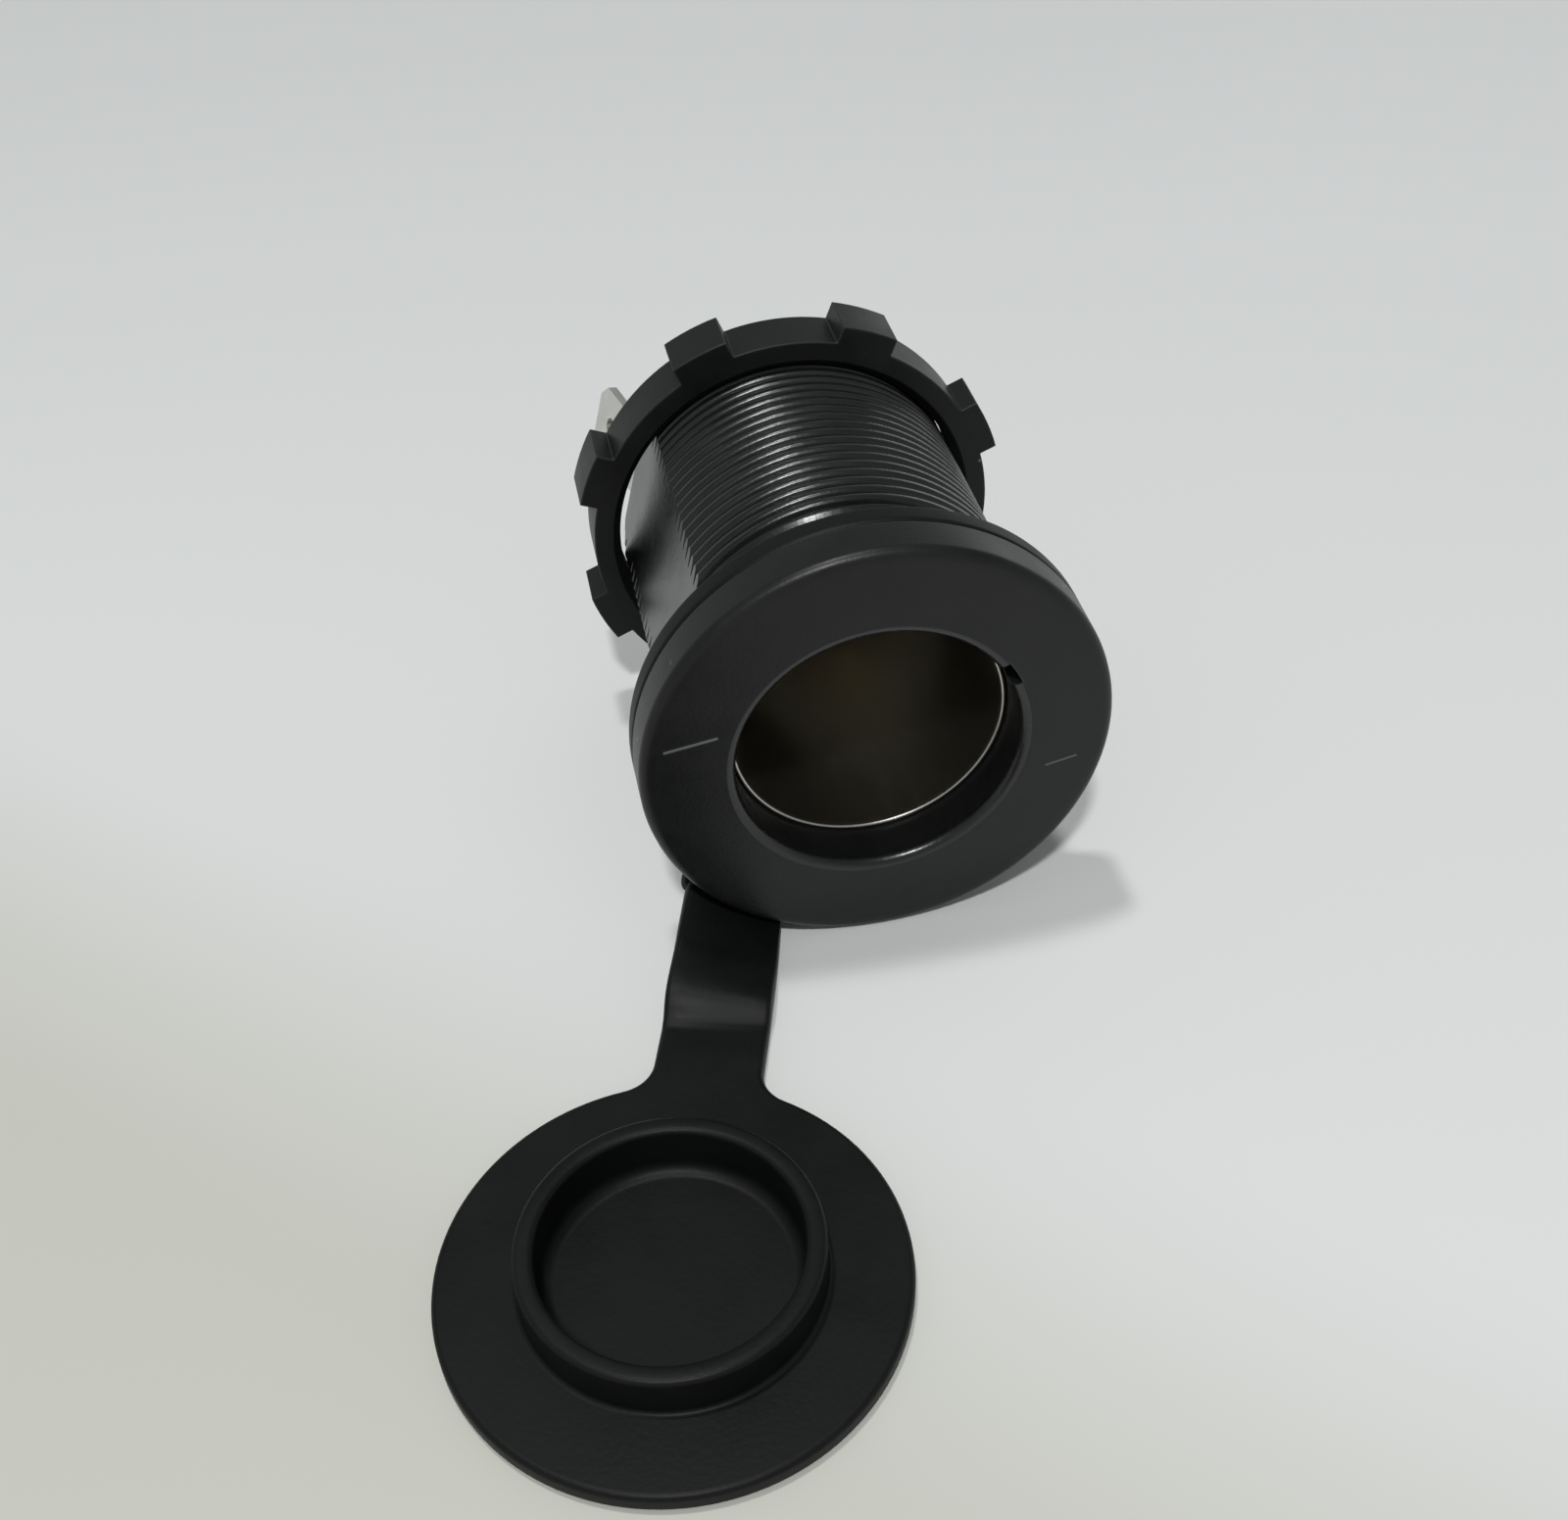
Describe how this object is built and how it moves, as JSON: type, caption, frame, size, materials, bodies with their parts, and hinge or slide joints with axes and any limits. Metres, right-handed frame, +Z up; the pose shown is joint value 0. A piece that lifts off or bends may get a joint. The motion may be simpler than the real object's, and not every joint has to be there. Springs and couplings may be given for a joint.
{
  "type": "12 V panel power socket",
  "caption": "Round 12 V plug socket with a threaded barrel, a castellated ring nut, blade terminals and a rubber cap on a strap.",
  "frame": {"origin": "on the socket's axis, in the plane where the gasket seats on the panel", "axes": "+Y along the socket's axis into the panel, towards the terminals; the mouth looks along -Y; +Z up as the part lies on a table, with +X to the right seen from the mouth"},
  "size_m": [0.0577, 0.0977, 0.0374],
  "materials": {
    "black_nylon": "moulded black nylon, satin with a fine grain",
    "black_nylon_nut": "moulded black nylon, satin",
    "black_rubber": "moulded black rubber, dull",
    "nickel_plate": "drawn and nickel-plated, bright",
    "tinned_brass": "stamped and tinned, bright",
    "brass": "plain brass, satin",
    "fibre": "vulcanised fibre, matt"
  },
  "bodies": {
    "socket": {"housing": "black_nylon", "contact_sleeve": "nickel_plate", "insulating_bush": "fibre", "contact_disc": "nickel_plate", "centre_rivet": "brass", "positive_terminal": "brass", "earth_terminal": "tinned_brass", "earth_rivet": "tinned_brass", "gasket_ring": "black_rubber", "cap_strap": "black_rubber"},
    "nut": {"ring_nut": "black_nylon_nut"},
    "cap": {"cap": "black_rubber"}
  },
  "joints": [
    {"name": "nut_travel", "type": "slide", "parent": "socket", "child": "nut", "axis": [0, 1, 0], "range_m": [-0.0232, 0.0012]},
    {"name": "cap_swing", "type": "hinge", "parent": "socket", "child": "cap", "pos_m": [-0.01566, -0.01044, -0.0215], "axis": [-0.8318, 0.3925, 0.3925], "range_deg": [0, 88], "deforming": ["cap_strap"]}
  ]
}
